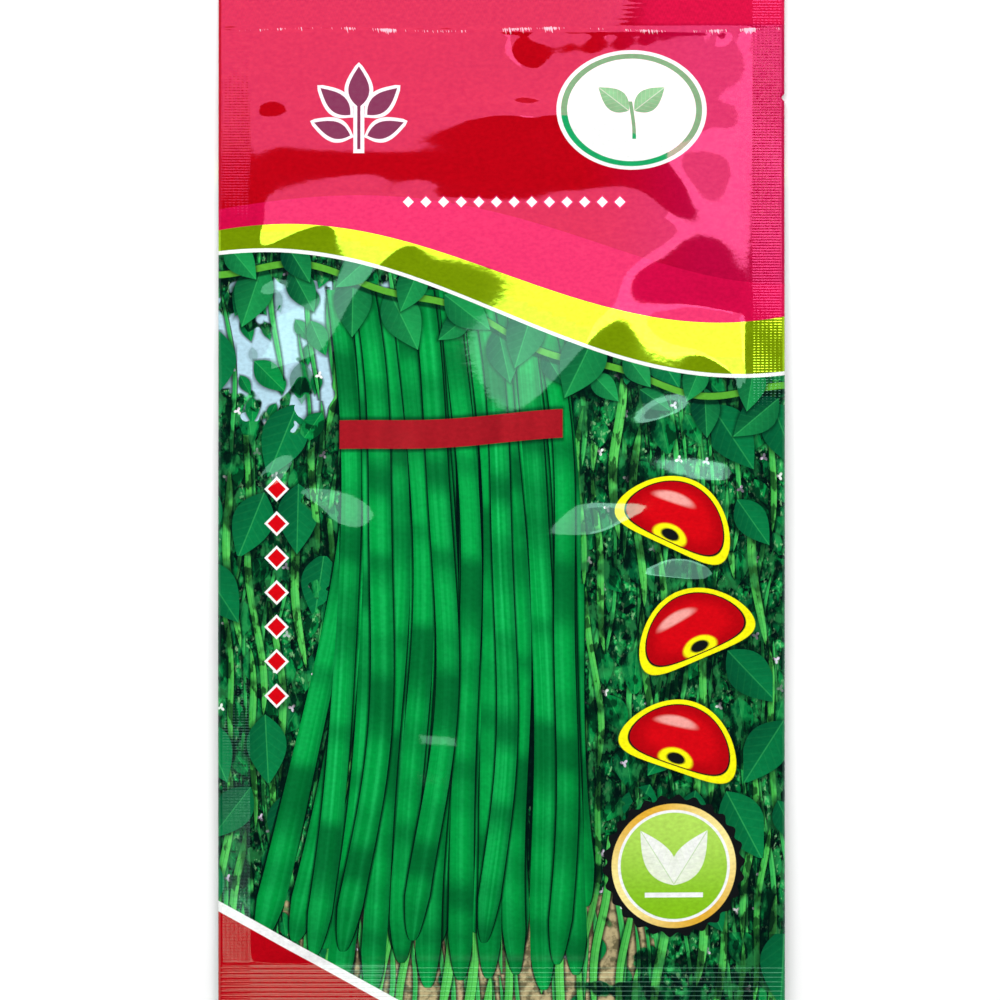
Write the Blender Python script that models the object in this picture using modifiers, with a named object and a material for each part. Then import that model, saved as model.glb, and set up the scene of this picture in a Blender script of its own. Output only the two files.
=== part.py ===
"""Seed packet: two panels of laminated film, sealed round all four sides, lying on its back
with loose bean seeds inside.

Frame: +X across the packet, +Y towards its top seal, +Z out of its printed front. The origin is
on the surface it lies on, under the middle. Lengths here are in millimetres until `MM` turns
them into metres.
"""
import math
import random

import bmesh
import bpy
from mathutils import Vector

MM = 0.001

# The packet
PACKET_WIDTH = 135.0
PACKET_HEIGHT = 245.0
SIDE_SEAL = 8.0
TOP_SEAL = 9.5
BOTTOM_SEAL = 12.0
FILM = 0.4
TOUCH_GAP = 0.3

# The pillow between the seals
FRONT_RISE = 6.4
BACK_DROP = 4.2
ROUNDNESS_ACROSS = 2.4
TAPER = 6.0

# The sealed rim: its height above the table, which falls towards the top and sways
SEAL_LIFT = 2.4
LIFT_LOST = 2.0
LIFT_FALLS_FROM = -30.0
LIFT_FALL_POWER = 1.6
RIM_WAVE_HEIGHT = 0.38
RIM_WAVE_LENGTH = 130.0
RIM_WAVE_START = 2.167
RIM_TWIST = -1.109

# The embossed bars of the end seals
BAR_PITCH = 3.0
BAR_HEIGHT = 0.22

# The tear notch in the right edge
NOTCH_Y = 96.0
NOTCH_DEPTH = 1.2
NOTCH_HALF_HEIGHT = 1.1

# The larger folds and dents of the front film: middle x and y, half length, half width, turn in
# degrees, and height
FOLDS = (
    (24.7, 104.0, 39.6, 6.9, 7, -0.6),
    (6.3, 99.6, 4.0, 12.4, 20, -0.6),
    (12.5, 90.1, 44.4, 6.1, -3, 0.6),
    (50.6, 86.6, 7.0, 12.9, -18, -0.6),
    (41.5, 78.8, 7.6, 16.0, 26, 0.6),
    (-4.2, 73.9, 42.8, 5.9, -3, -0.6),
    (41.6, 73.9, 42.9, 13.4, 71, 0.6),
    (-12.8, 62.3, 31.3, 16.0, 2, 0.6),
    (51.7, 42.4, 5.5, 16.0, 74, -0.6),
    (19.3, 38.8, 22.3, 7.8, 59, 0.6),
    (-66.0, 29.9, 33.4, 11.8, 11, 0.6),
    (-8.9, 3.2, 30.0, 16.0, -66, -0.6),
    (21.6, -11.0, 6.1, 7.8, 28, 0.45),
)
FOLD_FADE = 7.0

# Cells of the two films' grids, across and along
FRONT_CELLS = (22, 38)
BACK_CELLS = (16, 28)

# The seeds
SEED_COUNT = 48
SEED_LENGTH = 9.2
SEED_WIDTH = 5.6
SEED_THICKNESS = 4.4
SEED_BEND = 0.9
SEED_BEND_LEVEL = 0.4
SEED_SEGMENTS = 10
SEED_RINGS = 6
SEED_SIZES = (0.94, 1.0, 1.05)
SEED_SPACING = 11.3
SEED_JITTER = 0.65
HEAP_Y = -44.0
HEAP_HALF_WIDTH = 38.0
HEAP_HALF_HEIGHT = 44.0
LATTICE_REACH = 8
LEAST_FULLNESS_AT_SEED = 0.53
RANDOM_SEED = 7

# What follows from them
HALF_WIDTH = PACKET_WIDTH / 2
HALF_HEIGHT = PACKET_HEIGHT / 2
CAVITY_HALF_WIDTH = HALF_WIDTH - SIDE_SEAL
CAVITY_BOTTOM = -HALF_HEIGHT + BOTTOM_SEAL
CAVITY_TOP = HALF_HEIGHT - TOP_SEAL
CAVITY_HEIGHT = CAVITY_TOP - CAVITY_BOTTOM
MOST_FULL = (1 - 1 / (TAPER + 1)) * (TAPER + 1) ** (-1 / TAPER)


def clear_scene():
    for thing in list(bpy.data.objects):
        bpy.data.objects.remove(thing)


def make_collection(name):
    collection = bpy.data.collections.new(name)
    bpy.context.scene.collection.children.link(collection)
    return collection


def make_material(name, colour, roughness):
    material = bpy.data.materials.new(name)
    material.use_nodes = True
    shader = material.node_tree.nodes["Principled BSDF"]
    shader.inputs["Base Color"].default_value = (*colour, 1.0)
    shader.inputs["Roughness"].default_value = roughness
    shader.inputs["Metallic"].default_value = 0.0
    return material


def fullness(x, y):
    """How far the two films stand apart: 0 on the seals, 1 where the seeds lie thickest."""
    across = min(1.0, abs(x) / CAVITY_HALF_WIDTH)
    up = min(1.0, max(0.0, (y - CAVITY_BOTTOM) / CAVITY_HEIGHT))
    along = (1 - (1 - up) ** TAPER) * (1 - up) / MOST_FULL
    return (1 - across**ROUNDNESS_ACROSS) * along


def bars(y):
    """The ridges that the sealing jaws press across the top and bottom seals."""
    inside_seal = max(y - CAVITY_TOP, CAVITY_BOTTOM - y)
    if inside_seal <= 0:
        return 0.0
    return BAR_HEIGHT * math.sin(2 * math.pi * inside_seal / BAR_PITCH)


def seal_plane(x, y):
    """Height of the sealed rim above the table."""
    up = min(1.0, max(0.0, (y - LIFT_FALLS_FROM) / (HALF_HEIGHT - LIFT_FALLS_FROM)))
    turn = 2 * math.pi * y / RIM_WAVE_LENGTH + RIM_WAVE_START + RIM_TWIST * x / HALF_WIDTH
    sway = RIM_WAVE_HEIGHT * math.sin(turn)
    return SEAL_LIFT - LIFT_LOST * up**LIFT_FALL_POWER + sway + bars(y)


def folds(x, y):
    """Height of the folds, which fade out beside the side seals."""
    fade = min(1.0, max(0.0, (CAVITY_HALF_WIDTH - abs(x)) / FOLD_FADE))
    total = 0.0
    for middle_x, middle_y, half_length, half_width, turn, height in FOLDS:
        c, s = math.cos(math.radians(turn)), math.sin(math.radians(turn))
        along = ((x - middle_x) * c + (y - middle_y) * s) / half_length
        aside = ((y - middle_y) * c - (x - middle_x) * s) / half_width
        total += height * math.exp(-along * along - aside * aside)
    return total * fade * fade * (3 - 2 * fade)


def front_inside(x, y):
    """Inner face of the front film."""
    return seal_plane(x, y) + FILM + TOUCH_GAP + FRONT_RISE * fullness(x, y) + folds(x, y)


def back_outside(x, y):
    """Outer face of the back film, pressed flat where it lies on the table."""
    return max(0.0, seal_plane(x, y) - BACK_DROP * fullness(x, y))


def rulings(stops):
    """Grid lines from (position, cells up to the next position) pairs."""
    lines = []
    for (start, cells), (end, _) in zip(stops, stops[1:]):
        lines += [start + (end - start) * i / cells for i in range(cells)]
    return lines + [stops[-1][0]]


def lines_across(cells):
    return rulings([
        (-HALF_WIDTH, 2),
        (-CAVITY_HALF_WIDTH, cells),
        (CAVITY_HALF_WIDTH, 2),
        (HALF_WIDTH, 0),
    ])


def lines_along(cells_below_notch):
    """Rows for the bars at four to a ridge, three at the notch, and an even spread between."""
    bar_rows = 4 / BAR_PITCH
    return rulings([
        (-HALF_HEIGHT, round(BOTTOM_SEAL * bar_rows / 2)),
        (CAVITY_BOTTOM, cells_below_notch),
        (NOTCH_Y - NOTCH_HALF_HEIGHT, 1),
        (NOTCH_Y, 1),
        (NOTCH_Y + NOTCH_HALF_HEIGHT, 3),
        (CAVITY_TOP, round(TOP_SEAL * bar_rows / 2)),
        (HALF_HEIGHT, 0),
    ])


def make_film(name, height, cells, material, collection):
    """A panel: a grid laid on `height`, notched at its right edge and given the film's thickness."""
    cells_across, cells_along = cells
    columns = lines_across(cells_across)
    rows = lines_along(cells_along)
    mesh_builder = bmesh.new()
    bmesh.ops.create_grid(
        mesh_builder, x_segments=len(columns) - 1, y_segments=len(rows) - 1, size=1.0
    )
    for vertex in mesh_builder.verts:
        column = round((vertex.co.x + 1) / 2 * (len(columns) - 1))
        row = round((vertex.co.y + 1) / 2 * (len(rows) - 1))
        x, y = columns[column], rows[row]
        if column == len(columns) - 1 and y == NOTCH_Y:
            x -= NOTCH_DEPTH
        vertex.co = Vector((x, y, height(x, y))) * MM
    mesh = bpy.data.meshes.new(name)
    mesh_builder.to_mesh(mesh)
    mesh_builder.free()
    mesh.shade_smooth()

    film = bpy.data.objects.new(name, mesh)
    film.data.materials.append(material)
    collection.objects.link(film)
    wall = film.modifiers.new("film thickness", "SOLIDIFY")
    wall.thickness = FILM * MM
    wall.offset = 1.0
    return film


def make_seed_mesh(size, material):
    """A kidney-shaped bean seed lying on its side, a little hollow where its scar is."""
    half = Vector((SEED_LENGTH, SEED_WIDTH, SEED_THICKNESS)) * size / 2
    mesh_builder = bmesh.new()
    bmesh.ops.create_uvsphere(
        mesh_builder, u_segments=SEED_SEGMENTS, v_segments=SEED_RINGS, radius=1.0
    )
    for vertex in mesh_builder.verts:
        x, y, z = vertex.co
        bend = SEED_BEND * (x * x - SEED_BEND_LEVEL)
        vertex.co = Vector((x * half.x, y * half.y + bend, z * half.z)) * MM
    mesh = bpy.data.meshes.new("seed")
    mesh_builder.to_mesh(mesh)
    mesh_builder.free()
    mesh.shade_smooth()
    mesh.materials.append(material)
    return mesh


def seed_places(count):
    """Seed centres on a jittered triangular lattice, nearest the heap's middle first, each
    where the films stand far enough apart to hold it."""
    places = []
    row_step = SEED_SPACING * math.sqrt(3) / 2
    for row in range(-LATTICE_REACH, LATTICE_REACH + 1):
        for column in range(-LATTICE_REACH, LATTICE_REACH + 1):
            x = (column + 0.5 * (row % 2)) * SEED_SPACING + random.uniform(-1, 1) * SEED_JITTER
            y = HEAP_Y + row * row_step + random.uniform(-1, 1) * SEED_JITTER
            off_x, off_y = x / HEAP_HALF_WIDTH, (y - HEAP_Y) / HEAP_HALF_HEIGHT
            reach = SEED_LENGTH / 2
            nearest_rim = fullness(abs(x) + reach, y - reach)
            if nearest_rim > LEAST_FULLNESS_AT_SEED and max(abs(off_x), abs(off_y)) < 1:
                places.append((math.hypot(off_x, off_y), x, y))
    places.sort()
    return [(x, y) for _, x, y in places[:count]]


def make_seeds(material, collection):
    meshes = [make_seed_mesh(size, material) for size in SEED_SIZES]
    for number, (x, y) in enumerate(seed_places(SEED_COUNT), start=1):
        kind = random.randrange(len(SEED_SIZES))
        seed = bpy.data.objects.new(f"seed_{number:02d}", meshes[kind])
        half_thickness = SEED_THICKNESS * SEED_SIZES[kind] / 2
        seed.location = Vector((x, y, FILM + TOUCH_GAP + half_thickness)) * MM
        seed.rotation_euler = (0, 0, random.uniform(0, 2 * math.pi))
        collection.objects.link(seed)


def main():
    random.seed(RANDOM_SEED)
    clear_scene()
    packet = make_collection("seed packet")
    front_print = make_material("printed front film", (0.03, 0.36, 0.10), 0.12)
    back_print = make_material("printed back film", (0.62, 0.02, 0.07), 0.12)
    seed_coat = make_material("seed coat", (0.23, 0.07, 0.03), 0.45)
    make_film("front_film", front_inside, FRONT_CELLS, front_print, packet)
    make_film("back_film", back_outside, BACK_CELLS, back_print, packet)
    make_seeds(seed_coat, packet)


main()
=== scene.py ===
"""Looks of a sealed film seed packet that lies on its back.

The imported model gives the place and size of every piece. Here the two films get their folds,
pressed seals and print, and the loose seeds inside get their scars. Lengths are in millimetres
until `MM` turns them into metres.
"""
import math

import bpy
import numpy as np
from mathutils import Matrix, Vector


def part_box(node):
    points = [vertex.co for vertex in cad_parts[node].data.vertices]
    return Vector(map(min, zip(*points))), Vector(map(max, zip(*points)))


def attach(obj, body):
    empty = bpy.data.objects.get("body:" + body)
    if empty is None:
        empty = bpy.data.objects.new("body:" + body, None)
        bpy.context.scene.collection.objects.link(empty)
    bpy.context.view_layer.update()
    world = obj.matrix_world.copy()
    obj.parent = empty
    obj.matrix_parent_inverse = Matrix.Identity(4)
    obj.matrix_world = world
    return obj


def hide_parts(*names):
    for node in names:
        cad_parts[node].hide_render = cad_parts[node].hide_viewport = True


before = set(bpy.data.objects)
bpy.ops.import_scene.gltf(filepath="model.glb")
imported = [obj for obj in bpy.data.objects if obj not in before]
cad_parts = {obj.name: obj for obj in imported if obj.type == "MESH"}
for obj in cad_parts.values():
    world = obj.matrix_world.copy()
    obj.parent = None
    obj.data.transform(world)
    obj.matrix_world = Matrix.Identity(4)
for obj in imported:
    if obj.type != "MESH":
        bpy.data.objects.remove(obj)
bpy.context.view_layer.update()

MM = 0.001
FRONT_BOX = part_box("front_film")

# The packet, as in the frame
HALF_WIDTH = FRONT_BOX[1].x / MM
HALF_HEIGHT = FRONT_BOX[1].y / MM
SIDE_SEAL = 8.0
TOP_SEAL = 9.5
BOTTOM_SEAL = 12.0
CAVITY_HALF_WIDTH = HALF_WIDTH - SIDE_SEAL
CAVITY_BOTTOM = -HALF_HEIGHT + BOTTOM_SEAL
CAVITY_TOP = HALF_HEIGHT - TOP_SEAL
NOTCH_Y = 96.0
NOTCH_DEPTH = 0.8
NOTCH_HALF_HEIGHT = 0.9

# The pillow between the seals
FRONT_RISE = 6.4
BACK_DROP = 4.2
ROUNDNESS_ACROSS = 2.4
TAPER = 6.0

# The sealed rim: its height above the table, which falls towards the top and sways
SEAL_LIFT = 2.4
LIFT_LOST = 2.0
LIFT_FALLS_FROM = -30.0
LIFT_FALL_POWER = 1.6
RIM_WAVE_HEIGHT = 0.38
RIM_WAVE_LENGTH = 130.0
RIM_WAVE_START = 2.167
RIM_TWIST = -1.109
HEAD_TIP = 0.05
HEAD_TIP_FROM = 20.0

# The film and its weld
FILM = 0.13
WELD_HEIGHT = 0.55
LEDGE_HEIGHT = 0.30
SIDE_LEDGE = 9.0
TOP_LEDGE = 1.1
BOTTOM_LEDGE = 3.0

# The fine lines that the sealing jaws press across the ends, in metres
RIB_LENGTHS = {
    "Pitch": 1.1 * MM,
    "Half Width": 0.12 * MM,
    "Foot Line": CAVITY_BOTTOM * MM,
    "Foot Height": 0.06 * MM,
    "Head Line": CAVITY_TOP * MM,
    "Head Height": 0.006 * MM,
}

# Soft waves across the full part, and crinkles under the top seal
WAVE_HEIGHT = 0.05
WAVE_LENGTH = 15.5
WAVES_FALL_FROM = -12.0
CRINKLE_HEIGHT = 0.10
CRINKLE_REACH = 3.6

# Folds and dents of the front film: middle x and y, half length, half width, turn in degrees
# and height
FOLDS = (
    (24.7, 104.0, 39.6, 6.9, 7, -0.6),
    (6.3, 99.6, 4.0, 12.4, 20, -0.6),
    (9.7, 92.8, 17.3, 2.8, -1, 0.6),
    (-61.2, 90.7, 7.7, 2.8, 3, -0.58),
    (12.5, 90.1, 44.4, 6.1, -3, 0.6),
    (50.6, 86.6, 7.0, 12.9, -18, -0.6),
    (41.5, 78.8, 7.6, 16.0, 26, 0.6),
    (-4.2, 73.9, 42.8, 5.9, -3, -0.6),
    (41.6, 73.9, 42.9, 13.4, 71, 0.6),
    (-6.4, 68.8, 34.9, 3.8, -3, -0.6),
    (-12.8, 62.3, 31.3, 16.0, 2, 0.6),
    (-58.5, 58.6, 20.7, 3.5, 29, 0.49),
    (-29.5, 54.7, 17.1, 4.6, 57, 0.31),
    (-62.0, 46.6, 7.5, 2.4, 18, 0.6),
    (57.1, 45.7, 13.9, 3.6, -14, -0.6),
    (51.7, 42.4, 5.5, 16.0, 74, -0.6),
    (19.3, 38.8, 22.3, 7.8, 59, 0.6),
    (-66.0, 29.9, 33.4, 11.8, 11, 0.6),
    (-61.9, 29.0, 11.7, 2.9, 14, 0.5),
    (57.8, 26.9, 14.3, 4.1, -50, 0.6),
    (58.6, 26.4, 7.9, 2.4, 52, 0.6),
    (38.1, 19.2, 5.1, 2.4, 25, 0.25),
    (-66.0, 5.0, 25.3, 3.0, -16, 0.27),
    (-8.9, 3.2, 30.0, 16.0, -66, -0.6),
    (52.9, 3.0, 20.8, 5.4, -5, 0.36),
    (-57.8, 1.2, 9.1, 3.2, 41, 0.6),
    (27.8, -6.7, 24.5, 4.5, 16, 0.41),
    (-37.6, -8.0, 7.5, 5.2, -34, 0.51),
    (21.6, -11.0, 6.1, 7.8, 28, 0.45),
    (40.2, -19.2, 9.0, 2.5, 0, 0.48),
    (44.0, -19.4, 6.9, 3.8, -20, 0.57),
)
FOLD_FADE = 7.0
HEAD_FADE = 2.2

# The header's lower edge, one wave that falls from left to right, and how far up its foil band the
# header's own print starts
HEADER_EDGE = 45.0
HEADER_SWAY = 15.0
HEADER_WAVE = 36.0
HEADER_OVERLAP = 4.0

# Steps of the film sheets' grids: across, along, and along the foot and head seals
FRONT_STEPS = (1.15, 1.2, 0.09, 0.25)
BACK_STEPS = (1.6, 1.6, 0.15, 0.3)
SEAL_STEP = 1.0
LEDGE_STEP = 0.5

# The side seals' weave, the top seal's cloth as painted light and shade, and the film's gloss
WEAVE_PITCH = 0.66
WEAVE_PITCH_ACROSS = 1.0
WEAVE_HEIGHT = 0.0045
PEEL_HEIGHT = 0.003
CLOTH_PITCH = 1.7
CLOTH_PITCH_ACROSS = 0.95
FILM_ROUGHNESS = 0.035
FILM_IOR = 1.65
FILM_HAZE = 0.045

# The loose seeds, for their tree in metres
SEED_THICKNESS = 4.4
SEED_BEND = 0.9
SEED_BEND_LEVEL = 0.4
SEED_LENGTHS = {
    "Length": 9.2 * MM,
    "Width": 5.6 * MM,
    "Thickness": SEED_THICKNESS * MM,
    "Bend": SEED_BEND * MM,
    "Bend Level": SEED_BEND_LEVEL,
    "Scar Depth": 0.22 * MM,
}
SEED_COUNTS = {"Segments": 24, "Rings": 14}

# The print's ornaments: their middles, then their sizes. A row of lozenges has its numbers across
# and down, its pitch and its radius.
SPROUT = (31.0, 93.0, 17.0)
SPRAY = (-34.0, 92.0)
ROSETTE = (41.0, -87.0, 16.5)
HEADER_ROW = (3.0, 71.0, 13, 1, 4.2, 1.3)
SIDE_ROW = (-53.5, -22.0, 1, 7, 8.2, 2.2)
BACK_ROW = (0.0, 97.0, 15, 1, 4.2, 1.3)

# The pods' tie, and where the front's prints meet
TIE_MIDDLE = (-12.0, 17.0)
TIE_HALF_LENGTH = 26.5
TIE_HALF_WIDTH = 3.4
UPPER_FIELD_FOOT = 11.0
PODS_FOOT, PODS_HEAD = -72.0, 10.0
PODS_MIDDLE, PODS_HALF_WIDTH = -13.0, 21.0

# Long pods: the height of their tips' shade, and how far apart the tips end
POD_FOOT = -104.0
TIP_SPREAD = 16.0

# Inks, as linear colour
RED = (0.42, 0.001, 0.006)
MAGENTA = (0.55, 0.003, 0.052)
CRIMSON = (0.42, 0.002, 0.040)
BRIGHT_CRIMSON = (0.60, 0.006, 0.050)
YELLOW = (0.88, 0.84, 0.006)
WHITE = (0.84, 0.85, 0.84)
BLACK = (0.006, 0.007, 0.008)
LEAF_SHADE = (0.0005, 0.006, 0.005)
LEAF_DEEP = (0.001, 0.050, 0.022)
LEAF_GREEN = (0.003, 0.26, 0.052)
LEAF_LIGHT = (0.055, 0.56, 0.14)
POD_GREEN = (0.001, 0.29, 0.046)
POD_LIGHT = (0.012, 0.50, 0.115)
SKY = (0.40, 0.60, 0.70)
SOIL = (0.46, 0.38, 0.20)
GOLD = (0.72, 0.40, 0.035)
LIME = (0.22, 0.50, 0.012)
BLOSSOM = (0.72, 0.62, 0.78)
POD_DEEP = (0.0005, 0.060, 0.015)
FOIL_YELLOW = (0.36, 0.58, 0.003)
INK_GREEN = (0.01, 0.33, 0.11)
RED_GLOSS = (1.0, 0.13, 0.40)
GREEN_GLOSS = (0.30, 0.72, 0.54)
SEED_RED = (0.60, 0.002, 0.006)
SEED_DEEP = (0.34, 0.001, 0.004)
SEED_GLOSS = (0.9, 0.45, 0.40)
SOIL_SHADE = (0.14, 0.12, 0.06)
LEAF_SPARK = (0.30, 0.70, 0.30)
VINE_LEAF = (0.012, 0.31, 0.075)
VINE_STEM = (0.09, 0.36, 0.03)
EDGE_LEAF = (0.003, 0.20, 0.055)
FAR_POD = (0.06, 0.48, 0.10)
NEAR_POD = (0.10, 0.56, 0.10)
NEAR_POD_DEEP = (0.015, 0.26, 0.03)
TIE_RED = (0.22, 0.004, 0.010)
TIE_LIGHT = (0.42, 0.012, 0.020)
SPROUT_LIGHT = (0.09, 0.52, 0.2)
PALE_GOLD = (0.90, 0.78, 0.30)
PALE_LIME = (0.42, 0.68, 0.10)
PALE_LEAF = (0.72, 0.80, 0.60)
SEAL_DASH = (0.80, 0.66, 0.70)
RULE_GREY = (0.30, 0.31, 0.31)


# Shape of the films


def smooth(value):
    """A soft ramp from 0 to 1 as value goes from 0 to 1."""
    value = np.clip(value, 0.0, 1.0)
    return value * value * (3 - 2 * value)


def fullness(x, y):
    """How far the two films stand apart: 0 on the seals, 1 where the seeds lie thickest."""
    across = np.minimum(1.0, np.abs(x) / CAVITY_HALF_WIDTH)
    up = np.clip((y - CAVITY_BOTTOM) / (CAVITY_TOP - CAVITY_BOTTOM), 0.0, 1.0)
    most = (1 - 1 / (TAPER + 1)) * (TAPER + 1) ** (-1 / TAPER)
    return (1 - across**ROUNDNESS_ACROSS) * (1 - (1 - up) ** TAPER) * (1 - up) / most


def seal_plane(x, y):
    """Height of the welded rim above the table."""
    up = np.clip((y - LIFT_FALLS_FROM) / (HALF_HEIGHT - LIFT_FALLS_FROM), 0.0, 1.0)
    turn = 2 * np.pi * y / RIM_WAVE_LENGTH + RIM_WAVE_START + RIM_TWIST * x / HALF_WIDTH
    tip = HEAD_TIP * np.maximum(0.0, y - CAVITY_TOP) * smooth((x - HEAD_TIP_FROM) / 16.0)
    return SEAL_LIFT - LIFT_LOST * up**LIFT_FALL_POWER + RIM_WAVE_HEIGHT * np.sin(turn) + tip


def ledge(x, y):
    """The step from the welded seals, where the films lie tight together, to the loose film."""
    side = smooth((CAVITY_HALF_WIDTH - np.abs(x)) / SIDE_LEDGE)
    top = smooth((CAVITY_TOP - y) / TOP_LEDGE)
    bottom = smooth((y - CAVITY_BOTTOM) / BOTTOM_LEDGE)
    return LEDGE_HEIGHT * side * top * bottom


def folds(x, y):
    total = np.zeros_like(x)
    for middle_x, middle_y, half_length, half_width, turn, height in FOLDS:
        c, s = math.cos(math.radians(turn)), math.sin(math.radians(turn))
        along = ((x - middle_x) * c + (y - middle_y) * s) / half_length
        aside = ((y - middle_y) * c - (x - middle_x) * s) / half_width
        total += height * np.exp(-along**2 - aside**2)
    total *= smooth((CAVITY_HALF_WIDTH - np.abs(x)) / FOLD_FADE)
    return total * smooth((CAVITY_TOP + 0.3 - y) / HEAD_FADE)


def waves(x, y):
    """Soft level waves over the seeds."""
    lower = np.clip((WAVES_FALL_FROM - y) / 60.0, 0.0, 1.0)
    swing = np.sin(2 * np.pi * (y + 0.05 * x) / WAVE_LENGTH + 0.8 * np.sin(x / 22.0))
    return WAVE_HEIGHT * lower * swing * fullness(x, y)


def crinkles(x, y):
    """Short creases that run down from the top seal, where the jaws gathered the film."""
    below = np.maximum(0.0, CAVITY_TOP - y)
    fade = np.where(y < CAVITY_TOP, np.exp(-below / CRINKLE_REACH), 0.0)
    fade *= smooth(below / 0.8)
    beat = np.sin(2 * np.pi * x / 5.3 + 2.0 * np.sin(x / 7.0) + 0.25 * below)
    swell = 0.5 + 0.5 * np.sin(2 * np.pi * x / 23.0 + 1.3 * np.sin(x / 11.0))
    return CRINKLE_HEIGHT * fade * beat * swell


def front_outside(x, y):
    height = seal_plane(x, y) + WELD_HEIGHT + FILM + ledge(x, y)
    return height + FRONT_RISE * fullness(x, y) + folds(x, y) + waves(x, y) + crinkles(x, y)


def back_outside(x, y):
    """Outer face of the back film, pressed flat where it lies on the table."""
    weld = WELD_HEIGHT - FILM
    height = seal_plane(x, y) + weld
    return np.maximum(0.0, height - (BACK_DROP + weld) * fullness(x, y))


def rulings(stops):
    """Grid lines from (position, most distance between lines up to the next) pairs."""
    lines = []
    for (start, step), (end, _) in zip(stops, stops[1:]):
        count = max(1, math.ceil((end - start) / step))
        lines += [start + (end - start) * i / count for i in range(count)]
    return np.array(lines + [stops[-1][0]])


def film_columns(step):
    edge, line = HALF_WIDTH, CAVITY_HALF_WIDTH
    left = [(-edge, SEAL_STEP), (-line - 1, LEDGE_STEP), (-line + 2, step)]
    return rulings([*left, (line - 2, LEDGE_STEP), (line + 1, SEAL_STEP), (edge, 0)])


def film_rows(step, foot_step, head_step):
    notch_foot, notch_head = NOTCH_Y - NOTCH_HALF_HEIGHT, NOTCH_Y + NOTCH_HALF_HEIGHT
    foot = [(-HALF_HEIGHT, foot_step), (CAVITY_BOTTOM, LEDGE_STEP), (CAVITY_BOTTOM + 2, step)]
    notch = [(notch_foot, NOTCH_HALF_HEIGHT / 3), (notch_head, step / 2)]
    head = [(CAVITY_TOP - 10, LEDGE_STEP), (CAVITY_TOP, head_step), (HALF_HEIGHT, 0)]
    return rulings([*foot, *notch, *head])


def add_object(name, data):
    piece = bpy.data.objects.new(name, data)
    bpy.context.scene.collection.objects.link(piece)
    return piece


def film_sheet(name, columns, rows, height, facing_up):
    """A grid of the film's outer face, with the tear notch in its right edge."""
    x, y = np.meshgrid(columns, rows)
    notch = np.clip(1 - np.abs(y[:, -1] - NOTCH_Y) / NOTCH_HALF_HEIGHT, 0.0, 1.0)
    z = height(x, y)
    x[:, -1] -= NOTCH_DEPTH * notch
    points = np.stack([x, y, z], axis=-1).reshape(-1, 3) * MM
    wide = len(columns)
    corner = (np.arange(len(rows) - 1)[:, None] * wide + np.arange(wide - 1)).reshape(-1)
    quads = np.stack([corner, corner + 1, corner + wide + 1, corner + wide], axis=-1)
    if not facing_up:
        quads = quads[:, ::-1]
    mesh = bpy.data.meshes.new(name)
    mesh.from_pydata(points.tolist(), [], quads.tolist())
    mesh.shade_smooth()
    return add_object(name, mesh)


def run_shape(piece, name, tree, values):
    """Keeps what a Geometry Nodes tree makes of a piece, with values by its inputs' names."""
    modifier = piece.modifiers.new(name, "NODES")
    modifier.node_group = tree
    for item in tree.interface.items_tree:
        if item.item_type == "SOCKET" and item.in_out == "INPUT" and item.name in values:
            modifier[item.identifier] = values[item.name]
    return keep_result(piece)


def press_ribs(sheet, tree, ink):
    """Presses the jaws' lines into the ends of a film sheet."""
    sheet.data.materials.append(ink)
    return run_shape(sheet, "sealing jaws", tree, {**RIB_LENGTHS, "Material": ink})


def keep_result(piece):
    """The piece as its modifiers leave it, as a plain mesh without them."""
    evaluated = piece.evaluated_get(bpy.context.evaluated_depsgraph_get())
    mesh = bpy.data.meshes.new_from_object(evaluated)
    mesh.name = piece.name
    piece.modifiers.clear()
    piece.data = mesh
    return piece


def finish_film(sheet, print_ink, inner, cut_edge):
    """Gives the sheet its thickness, with plain film inside and a white cut edge."""
    sheet.data.materials.clear()
    for material in (print_ink, inner, cut_edge):
        sheet.data.materials.append(material)
    wall = sheet.modifiers.new("film thickness", "SOLIDIFY")
    wall.thickness = FILM * MM
    wall.offset = -1.0
    wall.material_offset = 1
    wall.material_offset_rim = 2
    return keep_result(sheet)


def lay_print(front, ink, covers):
    """Gives the outer faces whose middle `covers` names a print of their own."""
    front.data.materials.append(ink)
    slot = len(front.data.materials) - 1
    for face in front.data.polygons:
        x, y, _ = face.center / MM
        if face.material_index == 0 and covers(x, y):
            face.material_index = slot


def on_header(x, y):
    return HEADER_EDGE - HEADER_SWAY * math.sin(x / HEADER_WAVE) + HEADER_OVERLAP - y < 0


def on_pods(x, y):
    """Where the long pods cover all that is behind them."""
    return PODS_FOOT < y < PODS_HEAD and abs(x - PODS_MIDDLE) < PODS_HALF_WIDTH


def on_right_field(x, y):
    """Right of the long pods, which part towards their tips."""
    return y < UPPER_FIELD_FOOT and x > -12.0 + (30.0 + 8.0 * ((50.0 - y) / 170.0) ** 2)


def on_upper_field(x, y):
    return y > UPPER_FIELD_FOOT


# Formulas in node trees


class Term:
    """A node's output that formulas can use with + - * and /."""

    def __init__(self, tree, socket):
        self.tree = tree
        self.socket = socket

    def __add__(self, other):
        return calculate("ADD", self, other)

    def __radd__(self, other):
        return calculate("ADD", other, self)

    def __sub__(self, other):
        return calculate("SUBTRACT", self, other)

    def __rsub__(self, other):
        return calculate("SUBTRACT", other, self)

    def __mul__(self, other):
        return calculate("MULTIPLY", self, other)

    def __rmul__(self, other):
        return calculate("MULTIPLY", other, self)

    def __truediv__(self, other):
        return calculate("DIVIDE", self, other)


def new_node(tree, kind, **settings):
    node = tree.nodes.new(kind)
    node.location.x = 190 * (len(tree.nodes) % 40)
    node.location.y = -320 * (len(tree.nodes) // 40)
    for name, value in settings.items():
        setattr(node, name, value)
    return node


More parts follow.
